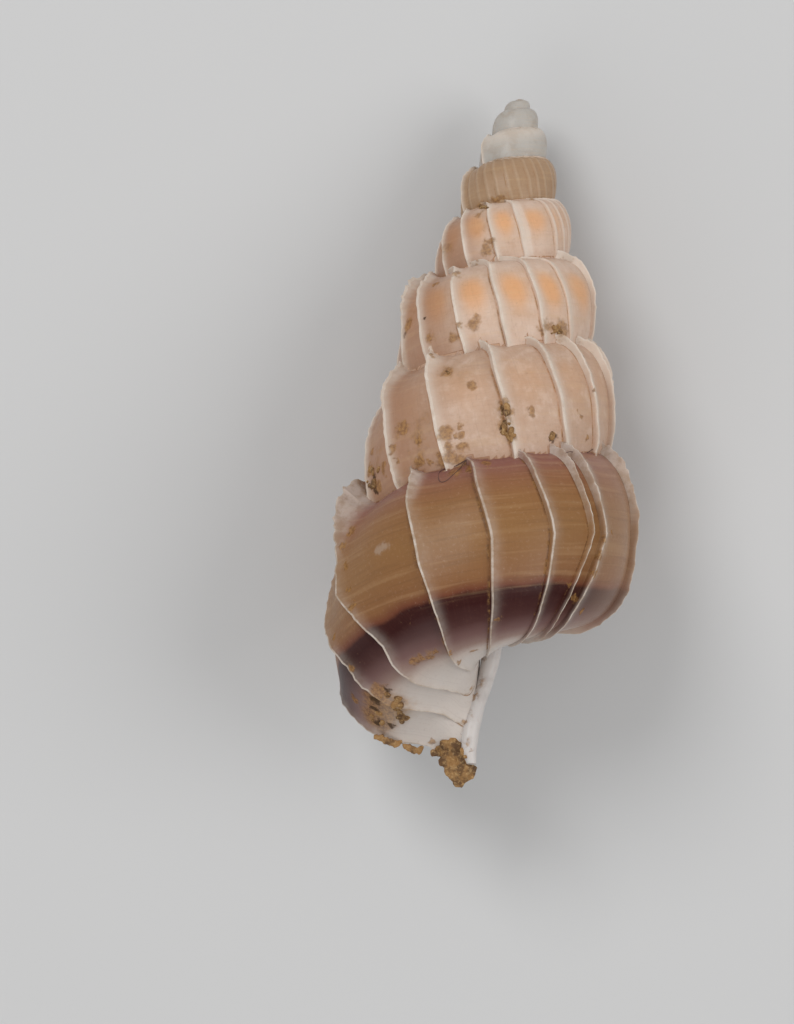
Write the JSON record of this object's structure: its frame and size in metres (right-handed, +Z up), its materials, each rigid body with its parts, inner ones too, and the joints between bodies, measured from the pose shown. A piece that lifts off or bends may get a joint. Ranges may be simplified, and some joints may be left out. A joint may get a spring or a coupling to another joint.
{
  "type": "wentletrap shell",
  "caption": "Tall spired seashell with rounded whorls, thin white lamellae across them and a banded last whorl, lying on its side with its mouth down.",
  "frame": {"origin": "on the ground, under the middle of the shell's box", "axes": "+Z up, +Y along the ground towards the apex, +X to the right of someone looking down with the apex away from them"},
  "size_m": [0.013, 0.0292, 0.0128],
  "materials": {
    "shell": "satin"
  },
  "bodies": {
    "root": {"shell": "shell"}
  },
  "joints": []
}
